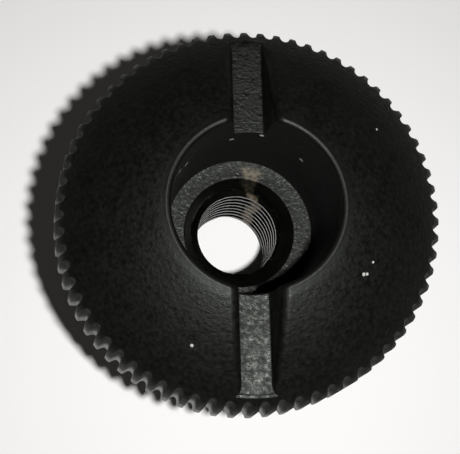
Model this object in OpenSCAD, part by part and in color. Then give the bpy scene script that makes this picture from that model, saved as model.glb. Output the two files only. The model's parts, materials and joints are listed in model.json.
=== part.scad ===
// Clamp nut, moulded in one piece: a knurled flange with a sloping face, a deep round recess,
// a key slot across the face, and a threaded hub below. Sizes are in millimetres.
// The origin is the centre of the hub's lower end, +Z runs up the thread and the key slot runs along Y.

/* [Knurled rim] */
// Diameter over the ridges at their widest, the flange's lower corner
rim_diameter = 30.4; // [24:0.2:40]
// Height of the knurled band, from the flange's underside to the upper edge of the ridges
rim_height = 5.4; // [3:0.1:7]
// Draft of the ridges and valleys, in degrees: they lean inwards as they rise
rim_draft = 4.5; // [1:0.5:6]
// Chamfer around the lower edge of the rim
rim_lower_chamfer = 0.3; // [0.1:0.1:1]
// Radius where the sloping face turns down into the rim
rim_edge_radius = 2.6; // [1:0.1:4]
// Steepness of the face where it reaches the ridges' upper edge, in degrees
rim_edge_slope = 63; // [55:1:75]
// Ridges around the rim
ridge_count = 70; // [50:1:90]
// Depth of a valley below the ridges' outer faces
ridge_depth = 0.62; // [0.5:0.01:0.8]
// Steepness of a ridge's flanks, in degrees
flank_angle = 78; // [68:1:82]
// Radius of a valley's bottom, as a share of the ridge pitch
valley_share = 0.25; // [0.2:0.01:0.28]
// Width of a ridge's flat top, as a share of the ridge pitch
land_share = 0.34; // [0.2:0.01:0.4]
// Height at which a flank begins to ease into the ridge's top, as a share of the valley's depth
ease_start_share = 0.8; // [0.6:0.01:0.85]

/* [Face] */
// Height of the crest around the recess above the upper edge of the ridges
face_rise = 5; // [3:0.1:7]
// Radius of the crown of the sloping face, from rim to crest
face_crown_radius = 22; // [18:1:100]

/* [Recess] */
// Diameter of the crest around the recess
crest_diameter = 13.1; // [12.9:0.1:18]
// Radius that rounds the crest
crest_radius = 0.35; // [0.2:0.05:0.45]
// Diameter of the flat floor
recess_floor_diameter = 12.2; // [10:0.1:12.4]
// Depth of the floor below the crest
recess_depth = 12.3; // [8:0.1:16]

/* [Key slot] */
// Width of the slot's floor
slot_floor_width = 2.4; // [1.5:0.1:4]
// Height of the slot's floor above the upper edge of the ridges
slot_floor_height = 1.2; // [0.5:0.1:2.5]
// Draft of each slot wall, in degrees
slot_draft = 5; // [1:0.5:10]

/* [Thread and hub] */
// Outside diameter of the screw that the thread takes
thread_diameter = 8; // [6:0.5:8.5]
// Pitch of that thread
thread_pitch = 1.25; // [0.75:0.25:1.5]
// Diameter of the mouth of the cone that leads into the thread
lead_in_diameter = 9.2; // [8.6:0.1:9.8]
// Full angle of that cone, in degrees
lead_in_angle = 90; // [60:5:120]
// Diameter of the hub below the flange
hub_diameter = 17; // [15:0.5:20]
// Length of the hub, from its lower end to the flange's underside
hub_length = 13.9; // [10:0.1:20]
// Chamfer around the hub's lower end, and around the thread there
hub_chamfer = 0.7; // [0.2:0.1:1]

/* [Hidden] */
$fa = 4;
$fs = 0.1;

// Levels above the hub's lower end
tip_level = hub_length + rim_height;
crest_level = tip_level + face_rise;
floor_level = crest_level - recess_depth;
slot_level = tip_level + slot_floor_height;

// Radii. The bore is the hole that the thread is cut in, one pitch under the screw's diameter.
rim_radius = rim_diameter / 2;
tip_radius = rim_radius - rim_height * tan(rim_draft);
rim_clear_radius = rim_radius + ridge_depth;
hub_radius = hub_diameter / 2;
floor_radius = recess_floor_diameter / 2;
lead_in_radius = lead_in_diameter / 2;
bore_radius = (thread_diameter - thread_pitch) / 2;
bore_top = floor_level - (lead_in_radius - bore_radius) / tan(lead_in_angle / 2);

// Centres of the two roundings of the section, at the crest and at the rim's edge
crest_centre = [crest_diameter / 2, crest_level - crest_radius];
edge_centre = [tip_radius, tip_level] - rim_edge_radius * [sin(rim_edge_slope), cos(rim_edge_slope)];

// The crown is an arc that touches both roundings from outside. Its centre lies where
// circles about their two centres cross, on the side away from the face.
span = norm(edge_centre - crest_centre);
along = (edge_centre - crest_centre) / span;
across = [-along.y, along.x];
crown_to_crest = face_crown_radius - crest_radius;
crown_to_edge = face_crown_radius - rim_edge_radius;
crown_run = (crown_to_crest * crown_to_crest - crown_to_edge * crown_to_edge + span * span) / (2 * span);
crown_drop = sqrt(crown_to_crest * crown_to_crest - crown_run * crown_run);
crown_centre = crest_centre + crown_run * along - crown_drop * across;
crown_rise = face_crown_radius - sqrt(face_crown_radius * face_crown_radius - span * span / 4);
crest_outer = crown_centre + face_crown_radius * unit(crest_centre - crown_centre);
edge_inner = crown_centre + face_crown_radius * unit(edge_centre - crown_centre);

// The recess wall runs from the floor's rim to touch the crest rounding on its inner side
wall_foot = [floor_radius, floor_level];
foot_to_crest = crest_centre - wall_foot;
wall_angle = atan2(foot_to_crest.y, foot_to_crest.x) + asin(crest_radius / norm(foot_to_crest));
crest_inner = crest_centre + crest_radius * [-sin(wall_angle), cos(wall_angle)];

// One valley of the knurl, seen along it: X outwards from its bottom, Y around the rim.
// A round bottom, straight flanks, and a flatter stretch that eases each flank into the ridge's top
// and runs on beyond it. The flanks cross the round bottom a little inside its edge.
ridge_step = 360 / ridge_count;
ridge_pitch = 2 * tip_radius * sin(ridge_step / 2);
valley_radius = valley_share * ridge_pitch;
flank_inset_share = 0.98;
flank_foot = [valley_radius, 0] + flank_inset_share * valley_radius * [-cos(flank_angle), sin(flank_angle)];
ease_height = ease_start_share * ridge_depth;
flank_end = [ease_height, flank_foot.y + (ease_height - flank_foot.x) / tan(flank_angle)];
land_edge = [ridge_depth, (1 - land_share) * ridge_pitch / 2];
valley_mouth = 2 * land_edge - flank_end;

// How much larger the section's roundings are drawn, how far the crown runs into them,
// and how deep the core and the crown's strip lie under the face
swell_share = 0.004;
overlap_share = 0.045;
core_sink_share = 0.25;
crown_sink_share = 0.5;

// Room beyond the part for what is cut away
reach = 2 * (rim_radius + crest_level);

function unit(v) = v / norm(v);
function mirrored(p) = [p.x, -p.y];

// The body of the half section, below its roundings and beyond the rim
module core() {
    sink = core_sink_share * crest_radius * across;
    polygon([
        [bore_radius + hub_chamfer, 0],
        [hub_radius - hub_chamfer, 0],
        [hub_radius, hub_chamfer],
        [hub_radius, hub_length],
        [rim_clear_radius, hub_length],
        [rim_clear_radius, edge_centre.y],
        edge_centre,
        edge_inner - sink,
        crest_outer - sink,
        crest_centre,
        crest_inner,
        wall_foot,
        [lead_in_radius, floor_level],
        [bore_radius, bore_top],
        [bore_radius, hub_chamfer]
    ]);
}

// The crown of the face: a strip of a large disc, which ends inside the roundings on either side
module crown() {
    sink = crown_sink_share * crest_radius * across;
    lift = 2 * crown_rise * across;
    outer_end = edge_inner + overlap_share * rim_edge_radius * along;
    inner_end = crest_outer - overlap_share * crest_radius * along;
    intersection() {
        translate(crown_centre) circle(r = face_crown_radius);
        polygon([outer_end - sink, outer_end + lift, inner_end + lift, inner_end - sink]);
    }
}

// What the rim leaves of the section: a drafted side with a small chamfer below
module rim_side() {
    polygon([
        [0, -reach],
        [rim_radius - 2 * rim_lower_chamfer, -reach],
        [rim_radius - 2 * rim_lower_chamfer, hub_length - rim_lower_chamfer],
        [rim_radius - rim_lower_chamfer * tan(rim_draft), hub_length + rim_lower_chamfer],
        [tip_radius - reach * tan(rim_draft), tip_level + reach],
        [0, tip_level + reach]
    ]);
}

// Half of the nut's section, to be turned about its axis. Each rounding is drawn a hair larger
// than its radius, so that it crosses the lines that it runs into.
module half_section() {
    intersection() {
        union() {
            core();
            crown();
            translate(edge_centre) circle(r = rim_edge_radius * (1 + swell_share));
            translate(crest_centre) circle(r = crest_radius * (1 + swell_share));
        }
        rim_side();
    }
}

// One valley of the knurl, at +X. It leans inwards with the ridges and runs out below the flange
// and above the face.
module valley_cut() {
    run = 2 * rim_height;
    translate([tip_radius, 0, tip_level]) rotate([0, -rim_draft, 0]) translate([-ridge_depth, 0, -run])
        linear_extrude(height = run + face_rise) {
            translate([valley_radius, 0]) circle(r = valley_radius);
            polygon([
                mirrored(flank_foot), mirrored(flank_end), mirrored(valley_mouth),
                valley_mouth, flank_end, flank_foot
            ]);
        }
}

// The key slot, along Y, open at the top and at both ends
module slot_cut() {
    rise = crest_level - slot_level + crest_radius;
    half_floor = slot_floor_width / 2;
    half_top = half_floor + rise * tan(slot_draft);
    translate([0, rim_radius, slot_level]) rotate([90, 0, 0]) linear_extrude(height = rim_diameter)
        polygon([[-half_floor, 0], [half_floor, 0], [half_top, rise], [-half_top, rise]]);
}

// The whole nut: the turned section, with the knurl's valleys and the slot taken out
module clamp_nut() {
    color([0.03, 0.03, 0.03]) difference() {
        rotate_extrude() half_section();
        for (i = [0 : ridge_count - 1]) rotate(i * ridge_step) valley_cut();
        slot_cut();
    }
}

clamp_nut();
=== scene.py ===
# %% [markdown]
# A knurled clamp nut
#
# The real nut is one black moulding: a knurled flange to grip, a face that slopes up to a rounded
# crest, a deep recess, a key slot across the face and a long hub with a thread through it.
# The solid from the part's source has all of these forms but the thread. This lesson models the same
# nut once more for the eye, with a cut thread and with the soft edges that a moulding has.
#
# The scene is emptied first, and the shared frame then brings in the solid. Its box says how high the
# nut stands.

import json
import math

import bpy
import numpy as np
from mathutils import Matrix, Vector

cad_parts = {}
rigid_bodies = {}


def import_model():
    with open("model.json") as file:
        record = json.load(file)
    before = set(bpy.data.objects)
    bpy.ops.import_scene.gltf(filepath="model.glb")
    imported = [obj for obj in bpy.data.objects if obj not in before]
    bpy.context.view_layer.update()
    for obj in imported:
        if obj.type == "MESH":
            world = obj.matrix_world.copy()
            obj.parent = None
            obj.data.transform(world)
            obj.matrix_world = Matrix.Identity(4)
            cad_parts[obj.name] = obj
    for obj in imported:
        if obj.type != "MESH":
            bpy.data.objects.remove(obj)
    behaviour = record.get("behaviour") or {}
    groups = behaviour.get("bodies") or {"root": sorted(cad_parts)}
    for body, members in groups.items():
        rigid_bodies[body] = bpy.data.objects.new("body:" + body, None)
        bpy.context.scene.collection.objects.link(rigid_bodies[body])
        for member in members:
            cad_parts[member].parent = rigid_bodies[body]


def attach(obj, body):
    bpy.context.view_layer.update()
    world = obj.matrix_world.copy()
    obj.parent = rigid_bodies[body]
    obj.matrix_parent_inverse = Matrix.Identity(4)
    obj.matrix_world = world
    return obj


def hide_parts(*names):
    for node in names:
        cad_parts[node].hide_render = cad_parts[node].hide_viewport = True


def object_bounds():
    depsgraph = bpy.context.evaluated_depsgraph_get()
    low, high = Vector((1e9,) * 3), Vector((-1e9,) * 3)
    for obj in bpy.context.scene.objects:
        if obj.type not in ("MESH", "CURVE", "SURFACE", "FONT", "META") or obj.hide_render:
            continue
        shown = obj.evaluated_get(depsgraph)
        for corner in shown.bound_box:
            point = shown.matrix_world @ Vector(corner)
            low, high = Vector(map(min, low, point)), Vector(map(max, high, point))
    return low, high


mm = 0.001


def in_mm(place):
    """A place in metres as rounded millimetres, to print."""
    return [round(value / mm, 2) for value in place]


bpy.ops.object.select_all(action="SELECT")
bpy.ops.object.delete()
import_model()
cad_low, cad_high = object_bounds()
print("box of the solid, mm:", in_mm(cad_low), in_mm(cad_high))

# %% [markdown]
# Sizes
#
# These are the sizes of the real nut, in millimetres, as the part's source has them. The crest's height
# is read from the frame. The solid's mesh could be measured instead, but a named value says what it is,
# and every later step works out its places from these few.

# %% Sizes of the rim, the face, the recess and the hub
rim_radius = 15.2
rim_height = 5.4
rim_draft = math.radians(4.5)
rim_chamfer = 0.3
rim_edge_radius = 2.6
rim_edge_slope = math.radians(63)
hub_radius = 8.5
hub_length = 13.9
hub_chamfer = 0.7
crest_circle = 6.55
crest_radius = 0.35
crown_radius = 22.0
recess_floor_radius = 6.1
recess_depth = 12.3
lead_in_radius = 4.6
thread_radius = 4.0
thread_pitch = 1.25

crest_level = cad_high.z / mm
floor_level = crest_level - recess_depth
tip_level = hub_length + rim_height
tip_radius = rim_radius - rim_height * math.tan(rim_draft)
bore_radius = thread_radius - thread_pitch / 2
bore_top = floor_level - (lead_in_radius - bore_radius)
print("levels, mm: ridge tips", tip_level, "crest", round(crest_level, 2), "floor", round(floor_level, 2))

# %% [markdown]
# The section
#
# A turned or moulded round part is fully told by half of its section. A curve object could hold it, but
# plain points are easier to divide where the zones of the nut meet. There are straight stretches, arcs
# where the face is crowned or an edge is round, and small arcs at the other corners, because a mould is
# never quite sharp.

# %% Helpers for a section's points
def unit(vector):
    """The vector at length one."""
    return vector / np.linalg.norm(vector)


def angle_of(vector):
    """The direction of a vector in the section, in radians."""
    return math.atan2(vector[1], vector[0])


def arc(centre, first, last, steps):
    """Points from first to last about a centre, the shorter way round."""
    start = angle_of(first - centre)
    turn = angle_of(last - centre) - start
    turn = (turn + math.pi) % (2 * math.pi) - math.pi
    radius = np.linalg.norm(first - centre)
    angles = start + turn * np.linspace(0, 1, steps + 1)
    return [centre + radius * np.array([math.cos(a), math.sin(a)]) for a in angles]


def corner(before, point, after, radius, steps=3):
    """An arc that rounds the corner at a point between two straight stretches."""
    one = unit(before - point)
    other = unit(after - point)
    half = math.acos(np.clip(one @ other, -1, 1)) / 2
    run = radius / math.tan(half)
    centre = point + unit(one + other) * radius / math.sin(half)
    return arc(centre, point + run * one, point + run * other, steps)


def stretch(first, last, steps):
    """Points between two ends, without the ends."""
    return [first + (last - first) * share for share in np.linspace(0, 1, steps + 1)[1:-1]]


same_place = 0.001


def joined(*stretches):
    """One list of points from several, without repeated ends."""
    points = []
    for stretch_points in stretches:
        for point in stretch_points:
            if not points or np.linalg.norm(point - points[-1]) > same_place:
                points.append(point)
    return points


middle = stretch(np.zeros(2), np.array([rim_radius, crest_level]), 2)[0]
print("middle of the half section's box, mm:", middle.round(2))

# %% [markdown]
# Centres of the roundings
#
# The face is crowned: its arc touches the rounding of the rim's edge at one end and that of the crest at
# the other, so no line shows between them. The centre of such an arc could be found by trial. Here it is
# worked out, as the place where two circles about the centres of the roundings cross.

# %% Rim's edge, crown, crest and recess wall
crest_centre = np.array([crest_circle, crest_level - crest_radius])
edge_normal = np.array([math.sin(rim_edge_slope), math.cos(rim_edge_slope)])
tip = np.array([tip_radius, tip_level])
edge_centre = tip - rim_edge_radius * edge_normal

span = np.linalg.norm(edge_centre - crest_centre)
along = (edge_centre - crest_centre) / span
across = np.array([-along[1], along[0]])
to_crest = crown_radius - crest_radius
to_edge = crown_radius - rim_edge_radius
crown_run = (to_crest**2 - to_edge**2 + span**2) / (2 * span)
crown_centre = crest_centre + crown_run * along - math.sqrt(to_crest**2 - crown_run**2) * across
crest_outer = crown_centre + crown_radius * unit(crest_centre - crown_centre)
edge_inner = crown_centre + crown_radius * unit(edge_centre - crown_centre)

wall_foot = np.array([recess_floor_radius, floor_level])
foot_to_crest = crest_centre - wall_foot
wall_angle = angle_of(foot_to_crest) + math.asin(crest_radius / np.linalg.norm(foot_to_crest))
crest_inner = crest_centre + crest_radius * np.array([-math.sin(wall_angle), math.cos(wall_angle)])
print("face runs from radius", round(edge_inner[0], 2), "to", round(crest_outer[0], 2))

# %% [markdown]
# Points from the rim to the crest
#
# The points go over the rounded edge of the rim, up the crown and over the crest. They could be spun in
# one go, but only the outer part of the face carries the knurl, so they are divided there. A point is put
# just outside the dividing circle, so that the knurled zone always ends at it.

# %% Points over the rim's edge, the crown and the crest
knurl_reach = 1.2
seam_gap = 0.02
edge_steps = 22
knurled_steps = 8
plain_steps = 18
crest_steps = 12

knurl_inner = tip_radius - knurl_reach
knurl_end_radius = knurl_inner + seam_gap
knurl_end_rise = math.sqrt(crown_radius**2 - (knurl_end_radius - crown_centre[0]) ** 2)
knurl_end = np.array([knurl_end_radius, crown_centre[1] + knurl_end_rise])

face_points = joined(
    arc(edge_centre, tip, edge_inner, edge_steps),
    arc(crown_centre, edge_inner, knurl_end, knurled_steps),
    arc(crown_centre, knurl_end, crest_outer, plain_steps),
    arc(crest_centre, crest_outer, crest_inner, crest_steps),
)
knurled_face = [point for point in face_points if point[0] > knurl_inner]
plain_face = face_points[len(knurled_face):]
print("points on the face:", len(knurled_face), "knurled and", len(plain_face), "plain")

# %% Section of the knurled zone, from the flange's underside over the rim
rim_corner_radius = 0.1
underside_steps = 3
side_steps = 8

under_join = np.array([knurl_inner, hub_length])
rim_under = np.array([rim_radius - rim_chamfer, hub_length])
rim_low = np.array([rim_radius - rim_chamfer * math.tan(rim_draft), hub_length + rim_chamfer])

rim_section = joined(
    [under_join],
    stretch(under_join, rim_under, underside_steps),
    corner(under_join, rim_under, rim_low, rim_corner_radius),
    corner(rim_under, rim_low, tip, rim_corner_radius),
    stretch(rim_low, tip, side_steps),
    knurled_face,
)
print("points in the knurled zone's section:", len(rim_section))

# %% Sections of the plain zones: hub below, face and recess above
hub_corner_radius = 0.2
hub_root_radius = 0.25
floor_corner_radius = 0.06
join_gap = 0.2
hub_join_radius = 6.2
floor_join_radius = 4.95
wall_steps = 5

hub_join = np.array([hub_join_radius, 0.0])
hub_foot = np.array([hub_radius - hub_chamfer, 0.0])
hub_side = np.array([hub_radius, hub_chamfer])
hub_top = np.array([hub_radius, hub_length])
hub_edge = under_join - np.array([join_gap, 0.0])
floor_join = np.array([floor_join_radius, floor_level])

hub_section = joined(
    [hub_join],
    corner(hub_join, hub_foot, hub_side, hub_corner_radius),
    corner(hub_foot, hub_side, hub_top, hub_corner_radius),
    corner(hub_side, hub_top, hub_edge, hub_root_radius),
    [hub_edge],
)
face_section = joined(
    plain_face,
    stretch(crest_inner, wall_foot, wall_steps),
    corner(crest_inner, wall_foot, floor_join, floor_corner_radius),
    [floor_join],
)
print("points in the plain sections:", len(hub_section), "and", len(face_section))

# %% [markdown]
# One ridge of the knurl
#
# The grip is 70 equal ridges with round valleys between them. Seventy cutters could be taken away from
# the rim, but one pitch is modelled here and the rest are copies of it, so that all are alike.
# The section is drawn by extruding a vertex from point to point, and is spun over one pitch.

# %% Draw a section and spin it over one pitch
ridge_count = 70
ridge_columns = 16
ridge_step = 2 * math.pi / ridge_count
merge_distance = 0.002


def edit_all(piece):
    """Edit mode on one piece, with all of it selected."""
    bpy.context.view_layer.objects.active = piece
    bpy.ops.object.mode_set(mode="EDIT")
    bpy.ops.mesh.select_all(action="SELECT")


def leave_edit():
    """Object mode again."""
    bpy.ops.object.mode_set(mode="OBJECT")


def draw(name, points):
    """A chain of edges through a section's points, made by extruding one vertex."""
    bpy.ops.object.select_all(action="DESELECT")
    bpy.ops.mesh.primitive_plane_add(size=mm)
    chain = bpy.context.object
    chain.name = name
    edit_all(chain)
    bpy.ops.mesh.merge(type="CENTER")
    bpy.ops.transform.translate(value=(points[0][0] * mm, 0, points[0][1] * mm))
    for here, there in zip(points, points[1:]):
        step = (there - here) * mm
        bpy.ops.mesh.extrude_region_move(TRANSFORM_OT_translate={"value": (step[0], 0, step[1])})
    leave_edit()
    return chain


def spin(piece, steps, angle, copies=False):
    """Turns a piece about the nut's axis, as a skin or as separate copies."""
    edit_all(piece)
    bpy.ops.mesh.spin(steps=steps, dupli=copies, angle=angle, center=(0, 0, 0), axis=(0, 0, 1))
    bpy.ops.mesh.select_all(action="SELECT")
    bpy.ops.mesh.remove_doubles(threshold=merge_distance * mm)
    leave_edit()


rim = draw("rim", rim_section)
edit_all(rim)
bpy.ops.transform.rotate(value=ridge_step / 2, orient_axis="Z", center_override=(0, 0, 0))
leave_edit()
spin(rim, ridge_columns, ridge_step)
print("one pitch:", len(rim.data.vertices), "vertices,", len(rim.data.polygons), "faces")

# %% [markdown]
# Outline of a valley
#
# Seen along the rim, a valley has a round bottom, two steep straight flanks and a flatter stretch that
# eases each flank into the ridge's top. It leans inwards with the mould's draft. Half of that outline is
# enough, as its other half mirrors it, and it says how far out the moulding reaches at each angle.

# %% Half the outline, and how far out the moulding reaches
ridge_depth = 0.62
ridge_pitch = 2 * tip_radius * math.sin(ridge_step / 2)
valley_share = 0.25
valley_radius = valley_share * ridge_pitch
flank_angle = math.radians(78)
land_share = 0.34
ease_start_share = 0.8
ease_start = ease_start_share * ridge_depth
bottom_points = 12

bottom_angles = np.linspace(0, flank_angle, bottom_points)
bottom_arc = [valley_radius * np.array([1 - math.cos(a), math.sin(a)]) for a in bottom_angles]
flank_run = (ease_start - bottom_arc[-1][0]) / math.tan(flank_angle)
flank_end = np.array([ease_start, bottom_arc[-1][1] + flank_run])
land_edge = np.array([ridge_depth, (1 - land_share) * ridge_pitch / 2])
beyond = 3 * land_edge - 2 * flank_end
outline = np.array(bottom_arc + [flank_end, land_edge, beyond])


def valley_limit(around, height):
    """How far out the moulding reaches at an angle from a valley's middle and at a height."""
    bottom = tip_radius - ridge_depth + (tip_level - height) * math.tan(rim_draft)
    across_valley = outline + [bottom, 0]
    angles = np.arctan2(across_valley[:, 1], across_valley[:, 0])
    return np.interp(around, angles, np.hypot(across_valley[:, 0], across_valley[:, 1]))


print("valley bottom at the tip level, mm:", round(float(valley_limit(0, tip_level)), 3))

# %% [markdown]
# Press the valley into the pitch
#
# Every vertex that lies outside the outline is drawn in to it, as if a ridge of the mould were pressed
# into the rim. A boolean would leave sharp edges. A soft minimum of the two radii rounds the ridge's edges
# on the way, also where the valley runs out over the rounded edge of the rim.

# %% Draw the vertices in to the valley
tip_softness = 0.05


def points_of(piece):
    """Vertex places of a piece, in millimetres."""
    flat = np.empty(len(piece.data.vertices) * 3)
    piece.data.vertices.foreach_get("co", flat)
    return flat.reshape(-1, 3) / mm


def move_points(piece, places):
    """Gives a piece's vertices new places, in millimetres."""
    piece.data.vertices.foreach_set("co", (places * mm).ravel())
    piece.data.update()


def at_radius(places, radius):
    """The same places, slid along their own radius from the axis."""
    share = radius / np.hypot(places[:, 0], places[:, 1])
    return np.stack([places[:, 0] * share, places[:, 1] * share, places[:, 2]], 1)


places = points_of(rim)
radius = np.hypot(places[:, 0], places[:, 1])
around = np.arctan2(places[:, 1], places[:, 0])
from_valley = np.abs((around + ridge_step / 2) % ridge_step - ridge_step / 2)
limit = np.array([valley_limit(angle, height) for angle, height in zip(from_valley, places[:, 2])])
softened = -tip_softness * np.logaddexp(-radius / tip_softness, -limit / tip_softness)
move_points(rim, at_radius(places, softened))
print("deepest draw into the valley, mm:", round(float((radius - softened).max()), 2))

# %% The other ridges are copies about the axis
spin(rim, ridge_count - 1, 2 * math.pi * (1 - 1 / ridge_count), copies=True)
print("whole turn:", len(rim.data.vertices), "vertices")

# %% [markdown]
# Hub, face and recess
#
# These are plain round forms, as a lathe would leave them. A Screw modifier could turn them too, and the
# same spin that made the ridge does it here. The face takes the name of the whole nut, because the other
# zones are joined to it later.

# %% Spin the plain sections whole
plain_columns = 280

hub = draw("hub", hub_section)
spin(hub, plain_columns, 2 * math.pi)
nut = draw("clamp_nut_visual", face_section)
spin(nut, plain_columns, 2 * math.pi)
print("hub:", len(hub.data.vertices), "vertices, face and recess:", len(nut.data.vertices))

# %% [markdown]
# The thread
#
# An M8 thread is a 60 degree groove that climbs 1.25 mm a turn. A profile swept along a helix and cut
# away could make it, with many thin faces where it runs out. Here the hole is spun with many rings, and
# its vertices are pushed out to the groove, whose depth depends on height and angle together. Where the
# lead-in cone is wider than the groove the cone stays, so the thread runs out there as a cut one does.

# %% Spin the hole, from the hub's end up to the recess floor
rings_per_turn = 20
thread_columns = 128
mouth_rings = 8
lead_in_rings = 16
lead_in_edge_radius = 0.12
bore_join_radius = 5.4
cone_join_radius = 4.8
bore_length = bore_top - hub_chamfer

bore_join = np.array([bore_join_radius, 0.0])
bore_mouth = np.array([bore_radius + hub_chamfer, 0.0])
bore_low = np.array([bore_radius, hub_chamfer])
bore_high = np.array([bore_radius, bore_top])
lead_in_edge = np.array([lead_in_radius, floor_level])
cone_join = np.array([cone_join_radius, floor_level])

hole_section = joined(
    [bore_join, bore_mouth],
    stretch(bore_mouth, bore_low, mouth_rings),
    [bore_low],
    stretch(bore_low, bore_high, int(rings_per_turn * bore_length / thread_pitch)),
    [bore_high],
    stretch(bore_high, lead_in_edge, lead_in_rings),
    corner(bore_high, lead_in_edge, floor_join, lead_in_edge_radius),
    [cone_join],
)
hole = draw("threaded_hole", hole_section)
spin(hole, thread_columns, 2 * math.pi)
print("hole:", len(hole_section), "rings of", thread_columns, "vertices")

# %% Push the wall out to the groove
groove_flat = thread_pitch / 8
flank_slope = math.tan(math.radians(30))

places = points_of(hole)
radius = np.hypot(places[:, 0], places[:, 1])
turn = np.arctan2(places[:, 1], places[:, 0]) / (2 * math.pi)
from_groove = np.abs((places[:, 2] / thread_pitch - turn) % 1 - 0.5) * thread_pitch
groove = thread_radius - np.maximum(from_groove - groove_flat / 2, 0) / flank_slope
move_points(hole, at_radius(places, np.maximum(radius, np.minimum(groove, thread_radius))))
print("thread:", round(bore_length / thread_pitch, 1), "turns")

# %% [markdown]
# One skin
#
# The real nut is one piece, so its four zones become one closed mesh. They have different numbers of
# vertices around, and a bridge would twist between them. Instead each pair was left a narrow ring apart,
# flat or nearly so, and that ring is filled with triangles.

# %% Join the zones
bpy.ops.object.select_all(action="DESELECT")
for zone in (hole, hub, rim, nut):
    zone.select_set(True)
bpy.context.view_layer.objects.active = nut
bpy.ops.object.join()
edit_all(nut)
bpy.ops.mesh.normals_make_consistent(inside=False)
leave_edit()
print("zones joined:", len(nut.data.polygons), "faces")

# %% Fill the narrow rings between them
ring_reach = 0.1


def fill_ring(piece, lowest, highest):
    """Fills the ring between two open edges that lie near one level."""
    edit_all(piece)
    bpy.ops.mesh.select_mode(type="EDGE")
    bpy.ops.mesh.select_all(action="DESELECT")
    bpy.ops.mesh.select_non_manifold(
        use_wire=False, use_multi_face=False, use_non_contiguous=False, use_verts=False
    )
    leave_edit()
    heights = points_of(piece)[:, 2]
    for edge in piece.data.edges:
        if edge.select and not lowest - ring_reach < heights[edge.vertices[0]] < highest + ring_reach:
            edge.select = False
    count = sum(edge.select for edge in piece.data.edges)
    bpy.ops.object.mode_set(mode="EDIT")
    bpy.ops.mesh.fill(use_beauty=True)
    leave_edit()
    return count


ring_levels = {
    "hub's end": (0.0, 0.0),
    "flange's underside": (hub_length, hub_length),
    "face": (knurled_face[-1][1], plain_face[0][1]),
    "recess floor": (floor_level, floor_level),
}
for ring, (lowest, highest) in ring_levels.items():
    print("ring on the", ring, "filled between", fill_ring(nut, lowest, highest), "edges")

edit_all(nut)
bpy.ops.mesh.remove_doubles(threshold=merge_distance * mm)
bpy.ops.mesh.normals_make_consistent(inside=False)
leave_edit()
print("one skin:", len(nut.data.vertices), "vertices,", len(nut.data.polygons), "faces")

# %% [markdown]
# The key slot
#
# A flat-bottomed slot runs across the face and opens into the recess. Its walls lean out by the mould's
# draft and every edge of it is soft. A box cutter with a Bevel modifier would round all edges alike, but
# here the shoulders follow the height of the face, and the outer ends flare a little. So the cutter is a
# sheet made of the slot's cross-sections, at stations that lie on circles about the axis.

# %% Sizes of the slot, and the line of the face that it follows
slot_floor_height = 1.2
slot_level = tip_level + slot_floor_height
slot_half = 1.2
slot_draft = math.tan(math.radians(5))
shoulder_radius = 0.7
floor_fillet = 0.12
mouth_radius = 0.15
flare_length = 0.9
flare_width = 0.4
flare_drop = 0.1
wall_lean = 0.07

face_line = np.array([point for point in face_points if point[1] >= tip_level])[::-1]
outer_line = face_line[crest_steps:]
inner_wall = recess_floor_radius + wall_lean
slot_end = np.interp(-slot_level, -outer_line[:, 1], outer_line[:, 0])
print("slot runs from radius", round(inner_wall, 2), "to", round(float(slot_end), 2))

# %% Shape of the slot at one station
least_rise = 0.02
shoulder_share = 0.6
fillet_share = 0.3
fullest_quarter = 0.985
floor_shares = (0, 0.35, 0.7, 1)
wall_shares = (0.25, 0.5, 0.75)
fillet_angles = np.radians([22.5, 45, 67.5, 90])
shoulder_angles = np.radians([180, 165, 150, 135, 120, 108])
run_off_steps = ((0.25, 0.09), (0.8, 0.45))


def quarter(share):
    """How far a quarter circle has fallen away, from none at 0 to nearly all at 1."""
    share = np.clip(share, 0, fullest_quarter)
    return 1 - math.sqrt(1 - share * share)


def slot_section(station):
    """Half of the slot's outline at a distance from the axis, from its middle out over its shoulder."""
    at_mouth = mouth_radius * quarter((inner_wall + mouth_radius - station) / mouth_radius)
    at_end = quarter((station - slot_end + flare_length) / flare_length)
    half = slot_half + at_mouth + flare_width * at_end
    level = slot_level - at_mouth - flare_drop * at_end
    rise = max(np.interp(station, face_line[:, 0], face_line[:, 1]) - level, least_rise)
    edge = half + rise * slot_draft
    shoulder = min(shoulder_radius, shoulder_share * rise)
    fillet = min(floor_fillet, fillet_share * rise)

    section = [(share * (half - fillet), level) for share in floor_shares]
    for angle in fillet_angles:
        section.append((half - fillet + fillet * math.sin(angle), level + fillet * (1 - math.cos(angle))))
    wall_low = level + fillet
    wall_high = level + rise - shoulder
    for share in wall_shares:
        height = wall_low + share * (wall_high - wall_low)
        section.append((half + (height - level) * slot_draft, height))
    for angle in shoulder_angles:
        x = edge + shoulder * (1 + math.cos(angle))
        z = level + rise - shoulder * (1 - math.sin(angle))
        section.append((x + (z - level - rise) * slot_draft, z))
    last_x, last_z = section[-1]
    for step_out, step_up in run_off_steps:
        section.append((last_x + step_out, last_z + step_up))
    return section


print("half a slot section has", len(slot_section(crest_circle)), "points")

# %% Stations along the slot, closest together at its two ends
slot_start = 4.6
station_gap = 0.05
crest_end = crest_circle + 0.4
face_start = crest_circle + 0.6
mouth_end = inner_wall + mouth_radius
flare_start = slot_end - flare_length
slot_overrun = 0.1
tool_overrun = 0.5

stations = np.concatenate([
    np.linspace(slot_start, inner_wall - station_gap, 4),
    np.linspace(inner_wall, mouth_end, 7),
    np.linspace(mouth_end + station_gap, crest_end, 8),
    np.linspace(face_start, flare_start, 18),
    np.linspace(flare_start, slot_end + slot_overrun, 12)[1:],
    [slot_end + tool_overrun],
])
half_sections = [np.array(slot_section(station)) for station in stations]
columns = 2 * len(half_sections[0]) - 1
print("slot tool:", len(stations), "stations of", columns, "points")

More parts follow.
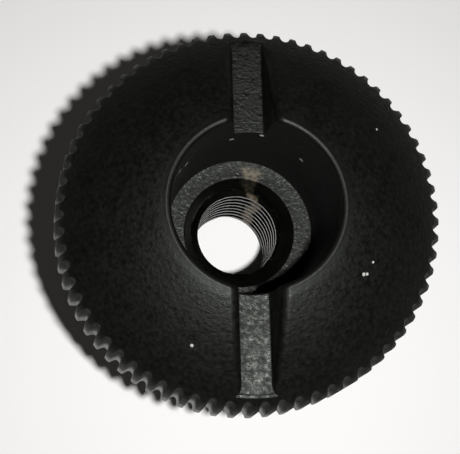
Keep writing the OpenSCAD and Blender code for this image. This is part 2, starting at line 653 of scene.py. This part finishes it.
# %% [markdown]
# Cutting the slot
#
# A grid gets one row of points for each station and is pushed up into a block. The block is taken away
# from the nut by a Boolean modifier, once on either side of the recess. The exact solver is used, because
# the block crosses the face at a shallow angle.

# %% Cut the slot on both sides of the recess
tool_height = 6.0
slot_merge_distance = 0.001
smooth_angle = math.radians(32)


def slot_tool(side):
    """The block that is taken away on one side of the recess."""
    bpy.ops.object.select_all(action="DESELECT")
    bpy.ops.mesh.primitive_grid_add(x_subdivisions=columns - 1, y_subdivisions=len(stations) - 1, size=1)
    tool = bpy.context.object
    grid = points_of(tool) * mm + 0.5
    places = np.empty_like(grid)
    for index, (u, v, _) in enumerate(grid):
        column = round(u * (columns - 1)) - columns // 2
        row = round(v * (len(stations) - 1))
        x, z = half_sections[row][abs(column)]
        y = math.sqrt(stations[row] ** 2 - x**2)
        places[index] = (side * math.copysign(x, column), side * y, z)
    move_points(tool, places)
    edit_all(tool)
    bpy.ops.mesh.extrude_region_move(TRANSFORM_OT_translate={"value": (0, 0, tool_height * mm)})
    bpy.ops.mesh.select_all(action="SELECT")
    bpy.ops.mesh.normals_make_consistent(inside=False)
    leave_edit()
    return tool


def cut(piece, tool):
    """Takes a tool's shape away from a piece, and the tool with it."""
    bpy.ops.object.select_all(action="DESELECT")
    piece.select_set(True)
    bpy.context.view_layer.objects.active = piece
    bpy.ops.object.modifier_add(type="BOOLEAN")
    modifier = piece.modifiers[-1]
    modifier.operation = "DIFFERENCE"
    modifier.solver = "EXACT"
    modifier.object = tool
    bpy.ops.object.modifier_apply(modifier=modifier.name)
    bpy.data.objects.remove(tool)


for side in (1, -1):
    cut(nut, slot_tool(side))
edit_all(nut)
bpy.ops.mesh.remove_doubles(threshold=slot_merge_distance * mm)
leave_edit()
bpy.ops.object.shade_smooth_by_angle(angle=smooth_angle)
triangles = sum(len(polygon.vertices) - 2 for polygon in nut.data.polygons)
print("nut:", len(nut.data.vertices), "vertices,", triangles, "triangles")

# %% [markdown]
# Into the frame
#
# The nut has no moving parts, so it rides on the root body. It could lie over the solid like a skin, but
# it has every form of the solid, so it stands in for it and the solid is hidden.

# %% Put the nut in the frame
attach(nut, "root")
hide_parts("clamp_nut")
print("in the frame:", nut.name)

# %% [markdown]
# Finish: where a point lies on a turned part
#
# Grain, gloss, dust and a painted reflection on this nut depend on how far a point lies from the axis, how
# high it lies and on which side. Painted masks could say so, but a node group works it out from the Object
# coordinates for every point, in millimetres and degrees. It also gives a vector for patterns that are
# drawn out around the axis. A plain angle would leave a seam on one side, so the pattern runs on the
# direction from the axis, which has none.

# %% Helpers for shader nodes
def new_group(name, inputs, outputs):
    """An empty shader node group with named sockets."""
    group = bpy.data.node_groups.new(name, "ShaderNodeTree")
    for socket, kind in inputs.items():
        group.interface.new_socket(socket, in_out="INPUT", socket_type="NodeSocket" + kind)
    for socket, kind in outputs.items():
        group.interface.new_socket(socket, in_out="OUTPUT", socket_type="NodeSocket" + kind)
    start = group.nodes.new("NodeGroupInput")
    end = group.nodes.new("NodeGroupOutput")
    return group, start, end


def add(tree, kind, **settings):
    """A node in a tree, with settings by name and unlinked inputs by socket name."""
    node = tree.nodes.new("ShaderNode" + kind)
    for key, value in settings.items():
        if key in node.inputs:
            node.inputs[key].default_value = value
        else:
            setattr(node, key, value)
    return node


def maths(tree, operation, first, second=None):
    """A Math node; each operand is a socket or a number."""
    node = add(tree, "Math", operation=operation)
    for socket, operand in zip(node.inputs, (first, second)):
        if isinstance(operand, bpy.types.NodeSocket):
            tree.links.new(operand, socket)
        elif operand is not None:
            socket.default_value = operand
    return node.outputs[0]


def between(tree, value, low, high, first=0.0, last=1.0):
    """A soft step from first to last as a value goes from low to high."""
    node = add(tree, "MapRange", interpolation_type="SMOOTHSTEP")
    for socket, number in (("From Min", low), ("From Max", high), ("To Min", first), ("To Max", last)):
        node.inputs[socket].default_value = number
    tree.links.new(value, node.inputs["Value"])
    return node.outputs[0]


print("node groups so far:", len(bpy.data.node_groups))

# %% Node group: place on a turned part
turned, start, end = new_group(
    "place on a turned part",
    {"Vector": "Vector", "Reach": "Float"},
    {"Place": "Vector", "Radius": "Float", "Height": "Float", "Angle": "Float", "Pattern": "Vector"},
)
scaled = add(turned, "VectorMath", operation="SCALE", Scale=1 / mm)
turned.links.new(start.outputs["Vector"], scaled.inputs[0])
split = add(turned, "SeparateXYZ")
turned.links.new(scaled.outputs[0], split.inputs[0])
flat = add(turned, "CombineXYZ")
turned.links.new(split.outputs["X"], flat.inputs["X"])
turned.links.new(split.outputs["Y"], flat.inputs["Y"])
length = add(turned, "VectorMath", operation="LENGTH")
turned.links.new(flat.outputs[0], length.inputs[0])
angle = maths(turned, "DEGREES", maths(turned, "ARCTAN2", split.outputs["Y"], split.outputs["X"]))
turned.links.new(scaled.outputs[0], end.inputs["Place"])
turned.links.new(length.outputs["Value"], end.inputs["Radius"])
turned.links.new(split.outputs["Z"], end.inputs["Height"])
turned.links.new(angle, end.inputs["Angle"])
print(turned.name, ":", len(turned.nodes), "nodes")

# %% The vector for patterns around the axis
direction = add(turned, "VectorMath", operation="NORMALIZE")
turned.links.new(flat.outputs[0], direction.inputs[0])
wide = add(turned, "VectorMath", operation="SCALE")
turned.links.new(direction.outputs[0], wide.inputs[0])
turned.links.new(start.outputs["Reach"], wide.inputs["Scale"])
apart = add(turned, "SeparateXYZ")
turned.links.new(wide.outputs[0], apart.inputs[0])
pattern = add(turned, "CombineXYZ")
turned.links.new(apart.outputs["X"], pattern.inputs["X"])
turned.links.new(apart.outputs["Y"], pattern.inputs["Y"])
turned.links.new(length.outputs["Value"], pattern.inputs["Z"])
turned.links.new(pattern.outputs[0], end.inputs["Pattern"])
print(turned.name, "with its pattern:", len(turned.nodes), "nodes")

# %% [markdown]
# Finish: eroded grain
#
# Moulds are often finished by spark erosion, and a moulding carries the print of it: fine bumps, tiny
# spots of more and less gloss, and broad clouds. One noise texture would look too even. Here two noises
# share the bumps, one fine in all directions and one drawn out around the axis, a third makes the flecks
# of gloss and a fourth the clouds.

# %% Node group: eroded grain
grain, start, end = new_group(
    "eroded grain",
    {"Vector": "Vector", "Pattern": "Vector", "Height": "Float"},
    {"Bumps": "Float", "Speckle": "Float", "Tone": "Float"},
)
fine = add(grain, "TexNoise", Scale=3800, Detail=2, Roughness=0.6)
drawn = add(grain, "TexNoise", noise_dimensions="4D", Scale=3.0, Detail=2, Roughness=0.55)
broad = add(grain, "TexNoise", Scale=500, Detail=3, Roughness=0.6)
fleck = add(grain, "TexNoise", noise_dimensions="4D", Scale=2900, Detail=1, W=5.0)
for noise in (fine, broad, fleck):
    grain.links.new(start.outputs["Vector"], noise.inputs["Vector"])
grain.links.new(start.outputs["Pattern"], drawn.inputs["Vector"])
grain.links.new(start.outputs["Height"], drawn.inputs["W"])
both = maths(grain, "ADD", fine.outputs[0], drawn.outputs[0])
grain.links.new(maths(grain, "MULTIPLY", both, 0.5), end.inputs["Bumps"])
grain.links.new(fleck.outputs[0], end.inputs["Speckle"])
grain.links.new(broad.outputs[0], end.inputs["Tone"])
print(grain.name, ":", len(grain.nodes), "nodes")

# %% [markdown]
# Finish: a speck of dust
#
# A handled nut picks up a few pale specks. Each could be a tiny mesh, but they lie flat and are too small
# for that. The group gives a mask that is one near a place and none away from it. The grain's own bumps
# make its edge ragged.

# %% Node group: a speck of dust
speck_core = 0.5
least_ragged = 0.5

speck, start, end = new_group(
    "speck of dust",
    {"Vector": "Vector", "Place": "Vector", "Size": "Float", "Ragged": "Float"},
    {"Mask": "Float"},
)
away = add(speck, "VectorMath", operation="DISTANCE")
speck.links.new(start.outputs["Vector"], away.inputs[0])
speck.links.new(start.outputs["Place"], away.inputs[1])
share = maths(speck, "DIVIDE", away.outputs["Value"], start.outputs["Size"])
share = maths(speck, "MULTIPLY", share, maths(speck, "ADD", start.outputs["Ragged"], least_ragged))
speck.links.new(between(speck, share, speck_core, 1.0, 1.0, 0.0), end.inputs["Mask"])
print(speck.name, ":", len(speck.nodes), "nodes")

# %% [markdown]
# Black moulding
#
# The plastic is a deep black, half matt, and its highlights lean faintly to green. A plain Principled
# shader with one roughness would look like rubber, so the node groups feed it. They read the Object
# coordinates, so the finish stays on the nut wherever it is placed.

# %% Shader and coordinates
highlight_level = 0.27
highlight_tint = (0.96, 1.0, 0.93, 1)
pattern_reach = 6.0

moulding = bpy.data.materials.new("black_moulding")
moulding.use_nodes = True
black = moulding.node_tree
plastic = black.nodes["Principled BSDF"]
plastic.inputs["Specular IOR Level"].default_value = highlight_level
plastic.inputs["Specular Tint"].default_value = highlight_tint

where = add(black, "TexCoord")
place = add(black, "Group", node_tree=turned, Reach=pattern_reach)
black.links.new(where.outputs["Object"], place.inputs["Vector"])
texture = add(black, "Group", node_tree=grain)
black.links.new(where.outputs["Object"], texture.inputs["Vector"])
black.links.new(place.outputs["Pattern"], texture.inputs["Pattern"])
black.links.new(place.outputs["Height"], texture.inputs["Height"])
facing = add(black, "SeparateXYZ")
black.links.new(where.outputs["Normal"], facing.inputs[0])

from_axis = place.outputs["Radius"]
height = place.outputs["Height"]
upward = facing.outputs["Z"]
print(moulding.name, ":", len(black.nodes), "nodes")

# %% [markdown]
# Zones
#
# The surface isn't the same all over. The thread is taken as cut, not moulded, and has no grain. The crest
# and the upright walls have less of it than the face and the level floors. Material slots could divide
# the nut into zones, but with hard borders. Soft steps on radius, height and direction leave none.

# %% Masks for the hole, the crest, the level floors and the upright walls
def product(tree, *values):
    """All the values multiplied."""
    result = values[0]
    for value in values[1:]:
        result = maths(tree, "MULTIPLY", result, value)
    return result


def less(tree, mask, share):
    """One, less a share of a mask."""
    return maths(tree, "SUBTRACT", 1.0, product(tree, mask, share))


hole_border = 0.04
crest_near = crest_circle + 0.15
crest_far = crest_circle + 0.75
crest_low = crest_level - 0.6
crest_high = crest_level - 0.2
level_from = 0.96
level_full = 0.99
upright_full = 0.3
upright_end = 0.5
crest_smoothing = 0.75
wall_smoothing = 0.4

below_floor = between(black, height, floor_level - hole_border, floor_level - hole_border / 4, 1.0, 0.0)
within_cone = between(black, from_axis, lead_in_radius - hole_border, lead_in_radius, 1.0, 0.0)
in_hole = product(black, within_cone, below_floor)
moulded = less(black, in_hole, 1.0)
near_crest = between(black, from_axis, crest_near, crest_far, 1.0, 0.0)
on_crest = product(black, near_crest, between(black, height, crest_low, crest_high))
on_level = between(black, upward, level_from, level_full)
upright = between(black, upward, upright_full, upright_end, 1.0, 0.0)
grainy = product(black, moulded, less(black, on_crest, crest_smoothing))
grainy = product(black, grainy, less(black, upright, wall_smoothing))
print("with the zones:", len(black.nodes), "nodes")

# %% [markdown]
# Grain and gloss
#
# The grain is a Bump node, as it is far too fine to model, and it is deepest on the level floors. Gloss
# follows the same flecks. The recess walls and the upper part of the ridges are more matt, and the
# thread's tool left the hole glossier than the rest.

# %% Bumps of the grain
bump_distance = 0.09
face_bumps = 0.6
more_bumps_on_level = 0.4

bump = add(black, "Bump", Strength=1.0, Distance=bump_distance * mm)
bump_depth = maths(black, "ADD", face_bumps, product(black, on_level, more_bumps_on_level))
black.links.new(product(black, texture.outputs["Bumps"], grainy, bump_depth), bump.inputs["Height"])
black.links.new(bump.outputs[0], plastic.inputs["Normal"])
print("with the bumps:", len(black.nodes), "nodes")

# %% Roughness
face_roughness = 0.5
level_matt = 0.02
recess_matt = 0.3
rim_low_matt = -0.12
rim_high_matt = 0.3
thread_gloss = 0.27
cone_gloss = 0.18
face_flecks = 0.55
more_flecks_on_level = 0.2
noise_middle = 0.5
recess_near = 7.0
recess_far = 8.0
rim_near = 12.0
rim_far = 13.0
rim_side_low = hub_length + 1.2
rim_side_high = tip_level - 1.2
thread_near = thread_radius - 0.1
thread_far = thread_radius + 0.1

fleck_depth = maths(black, "ADD", face_flecks, product(black, on_level, more_flecks_on_level))
speckle = maths(black, "SUBTRACT", texture.outputs["Speckle"], noise_middle)
flecks = product(black, speckle, fleck_depth, grainy)
on_recess = product(black, between(black, from_axis, recess_near, recess_far, 1.0, 0.0), moulded)
on_rim = between(black, from_axis, rim_near, rim_far)
up_the_rim = between(black, height, rim_side_low, rim_side_high, rim_low_matt, rim_high_matt)
cut_gloss = between(black, from_axis, thread_near, thread_far, thread_gloss, cone_gloss)

rough = maths(black, "ADD", face_roughness, flecks)
rough = maths(black, "ADD", rough, product(black, on_level, level_matt))
rough = maths(black, "ADD", rough, product(black, upright, on_recess, recess_matt))
rough = maths(black, "ADD", rough, product(black, upright, on_rim, up_the_rim))
rough = maths(black, "SUBTRACT", rough, product(black, in_hole, cut_gloss))
black.links.new(rough, plastic.inputs["Roughness"])
print("with the roughness:", len(black.nodes), "nodes")

# %% [markdown]
# Colour and a painted reflection
#
# The black is a little cloudy. On one side a painted warm reflection runs from the recess floor over the
# cone and down the crests of the thread: a tan streak in the base colour that stands in for light reflected
# there. It could be an image, but angle, radius and height already say where it is, and the grain breaks up
# its edge.

# %% Cloudy black
black_low = (0.0006, 0.0008, 0.0004, 1)
black_high = (0.0017, 0.002, 0.0014, 1)
cloud_from = 0.35
cloud_full = 0.7


def mixed(tree, factor, first, second):
    """A colour from first, which is a socket or a colour, to second as a factor goes from 0 to 1."""
    node = add(tree, "Mix", data_type="RGBA")
    if isinstance(first, bpy.types.NodeSocket):
        tree.links.new(first, node.inputs["A"])
    else:
        node.inputs["A"].default_value = first
    node.inputs["B"].default_value = second
    tree.links.new(factor, node.inputs["Factor"])
    return node.outputs["Result"]


clouds = between(black, texture.outputs["Tone"], cloud_from, cloud_full)
cloudy = mixed(black, clouds, black_low, black_high)
print("with the clouds:", len(black.nodes), "nodes")

# %% Painted warm reflection by the thread, as a tan streak in the base colour
painted_reflection_colour = (0.19, 0.155, 0.11, 1)
reflection_spread = 11.0
reflection_core = 0.4 * reflection_spread
reflection_wander = 24.0
thread_reflection_angle = 59.0
floor_reflection_angle = 77.0
reflection_turn_level = bore_top - 1.5
reflection_top = floor_level + 0.05
reflection_fade_start = recess_floor_radius - 0.8
reflection_fade_end = recess_floor_radius - 0.3
faintest_patch = 0.2
fullest_patch = 0.55
patch_from = 0.35
patch_full = 0.65
thread_crest = bore_radius + 0.2
thread_flank = bore_radius + 0.45
groove_loss = 0.85

reflection_angle = between(black, height, reflection_turn_level, floor_level, thread_reflection_angle, floor_reflection_angle)
wander = product(black, maths(black, "SUBTRACT", texture.outputs["Tone"], noise_middle), reflection_wander)
off_reflection = maths(black, "SUBTRACT", maths(black, "ADD", place.outputs["Angle"], wander), reflection_angle)
off_reflection = maths(black, "ABSOLUTE", off_reflection)
in_reflection = between(black, off_reflection, reflection_core, reflection_spread, 1.0, 0.0)
speckled = texture.outputs["Speckle"]
patchy = between(black, speckled, patch_from, patch_full, faintest_patch, fullest_patch)
floor_or_lower = between(black, height, floor_level, reflection_top, 1.0, 0.0)
off_the_crests = between(black, from_axis, thread_crest, thread_flank)
fading = between(black, from_axis, reflection_fade_start, reflection_fade_end, 1.0, 0.0)
painted_reflection = product(black, in_reflection, patchy, floor_or_lower, fading)
painted_reflection = product(black, painted_reflection, less(black, product(black, off_the_crests, in_hole), groove_loss))
# The painted warm reflection is mixed into the base colour here.
with_reflection = mixed(black, painted_reflection, cloudy, painted_reflection_colour)
print("with the stain:", len(black.nodes), "nodes")

# %% [markdown]
# Dust
#
# A few specks lie on the face, and a few cling to the recess wall. They could be scattered by chance, but
# so few are better placed one by one: by the angle about the axis in degrees, then, in millimetres, the
# distance from the axis on the face or the height on the wall, and last the size.

# %% Specks on the face and on the recess wall
dust_colour = (0.36, 0.36, 0.33, 1)
face_specks = [(-34, 9.3, 0.17), (-33, 9.5, 0.14), (-27, 9.5, 0.12), (244.5, 11.1, 0.16), (32, 11.3, 0.12)]
wall_specks = [(46, 18.9, 0.24), (141, 19.8, 0.28), (150, 20.8, 0.28), (80, 20.1, 0.24), (101, 19.1, 0.24)]
wall_radius = (recess_floor_radius + crest_inner[0]) / 2

specks = []
for degrees, out, size in face_specks:
    specks.append((degrees, out, np.interp(out, face_line[:, 0], face_line[:, 1]), size))
for degrees, up, size in wall_specks:
    specks.append((degrees, wall_radius, up, size))

dust = 0.0
for degrees, out, up, size in specks:
    bearing = math.radians(degrees)
    node = add(black, "Group", node_tree=speck, Size=size)
    node.inputs["Place"].default_value = (out * math.cos(bearing), out * math.sin(bearing), up)
    black.links.new(place.outputs["Place"], node.inputs["Vector"])
    black.links.new(texture.outputs["Bumps"], node.inputs["Ragged"])
    dust = maths(black, "MAXIMUM", node.outputs["Mask"], dust)
black.links.new(mixed(black, dust, with_reflection, dust_colour), plastic.inputs["Base Color"])
nut.data.materials.clear()
nut.data.materials.append(moulding)
print("finish:", moulding.name, "with", len(specks), "specks and", len(black.nodes), "nodes")

# %% [markdown]
# Floor
#
# The nut stands on its hub on a pale sheet that runs far out. Near the nut the sheet is only lit, so it
# keeps the shadow. Further out the small lamp hardly reaches it. A second lamp could help there, but it
# would light the nut as well, so the far part of the sheet glows a little, and only for the camera.

# %% Pale sheet
sheet_size = 4.0
sheet_colour = (0.84, 0.83, 0.82, 1)
sheet_roughness = 0.9
glow_start = 35
glow_full = 120
glow_strength = 0.7

bpy.ops.object.select_all(action="DESELECT")
bpy.ops.mesh.primitive_plane_add(size=sheet_size)
floor = bpy.context.object
floor.name = "floor"
sheet = bpy.data.materials.new("pale_sheet")
sheet.use_nodes = True
pale = sheet.node_tree
paper = pale.nodes["Principled BSDF"]
paper.inputs["Base Color"].default_value = sheet_colour
paper.inputs["Roughness"].default_value = sheet_roughness
paper.inputs["Emission Strength"].default_value = 1.0
spot = add(pale, "TexCoord")
distance = add(pale, "VectorMath", operation="LENGTH")
pale.links.new(spot.outputs["Object"], distance.inputs[0])
path = add(pale, "LightPath")
afar = between(pale, distance.outputs["Value"], glow_start * mm, glow_full * mm, 0.0, glow_strength)
pale.links.new(product(pale, afar, path.outputs["Is Camera Ray"]), paper.inputs["Emission Color"])
floor.data.materials.append(sheet)
print("floor:", sheet_size, "m wide, glowing from", glow_start, "mm outwards")

# %% [markdown]
# Light
#
# One small lamp stands close to the lens and a little to its right. It lights the face and the floors of
# recess and slot, and throws a dark shadow with a clear edge round the left of the rim. A sun could throw
# such a shadow too, but its rays are parallel, and those of a close lamp spread into the recess. The world
# adds a faint warm light that comes from low down, so that the rim's sides show and the face stays black.
# What the camera sees of the world itself is pale.

# %% Lamp near the lens
lamp_place = (2.9, -17.6, 102)
lamp_size = 4.5
lamp_power = 0.12
lamp_tilt = math.radians(14)

bpy.ops.object.light_add(type="AREA", location=[value * mm for value in lamp_place])
lamp = bpy.context.object
lamp.name = "small lamp"
lamp.data.shape = "DISK"
lamp.data.size = lamp_size * mm
lamp.data.energy = lamp_power
lamp.rotation_euler = (lamp_tilt, 0, 0)
print("lamp:", lamp_power, "W at", in_mm(lamp.location))

# %% Faint light from all round
dome_colour = (1, 0.96, 0.9, 1)
low_sky = 0.2
overhead = 1.0
low_strength = 0.075
high_strength = 0.003
seen_strength = 0.85

world = bpy.data.worlds.new("soft studio")
bpy.context.scene.world = world
world.use_nodes = True
sky = world.node_tree
dome = sky.nodes["Background"]
dome.inputs["Color"].default_value = dome_colour
skyward = add(sky, "TexCoord")
up = add(sky, "SeparateXYZ")
sky.links.new(skyward.outputs["Generated"], up.inputs[0])
faint = between(sky, up.outputs["Z"], low_sky, overhead, low_strength, high_strength)
path = add(sky, "LightPath")
shown = product(sky, path.outputs["Is Camera Ray"], seen_strength)
sky.links.new(maths(sky, "ADD", faint, shown), dome.inputs["Strength"])
print("world:", low_strength, "low down to", high_strength, "overhead")

# %% [markdown]
# Camera
#
# The camera looks down at the face from close by. It stands a little to the left of the axis and in front
# of it, so the hole is seen slantwise and the rim's side shows at the lower left. It could be aimed so that
# the nut fills the middle, but that would change how the circles lie to each other. Instead the lens is
# shifted, by a few pixels of a picture 460 pixels wide.

# %% Camera
camera_place = (-9.523, -15.118, 95.778)
camera_turn = (12.7157, -4.6598, -1.3081)
camera_lens = 80.3
sensor_width = 36
picture_width = 460
shift_right = 19
shift_up = -38

bpy.ops.object.camera_add(location=[value * mm for value in camera_place])
camera = bpy.context.object
camera.rotation_euler = [math.radians(degrees) for degrees in camera_turn]
camera.data.lens = camera_lens
camera.data.sensor_width = sensor_width
camera.data.shift_x = shift_right / picture_width
camera.data.shift_y = shift_up / picture_width
camera.data.clip_start = 1 * mm
bpy.context.scene.camera = camera
bpy.context.scene.view_settings.view_transform = "Standard"
print("camera at", in_mm(camera.location), "mm")
